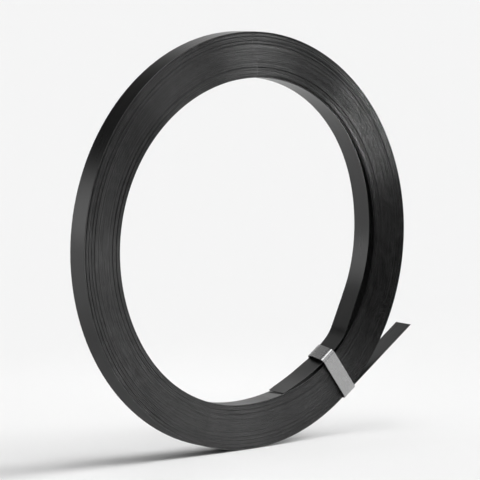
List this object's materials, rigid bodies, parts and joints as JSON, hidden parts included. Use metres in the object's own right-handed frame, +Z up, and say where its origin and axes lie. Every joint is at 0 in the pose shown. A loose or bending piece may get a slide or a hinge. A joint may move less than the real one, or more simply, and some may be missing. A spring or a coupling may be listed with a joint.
{
  "type": "steel coil",
  "caption": "Upright ring of narrow black steel strapping wound turn on turn, with a loose inner turn, a straight free tail and a bright metal tie band round its section.",
  "frame": {"origin": "on the floor, straight under the coil's axis and at the middle of the strap's width", "axes": "+Z up, +Y along the coil's axis from its front end to its back, +X to the right as seen from the front; the tie band and the tail are at the lower right of the front"},
  "size_m": [0.3582, 0.0226, 0.3502],
  "materials": {
    "strap": "satin black",
    "band": "bright, finely brushed"
  },
  "bodies": {
    "root": {"strap_coil": "strap", "tie_band": "band"}
  },
  "joints": []
}
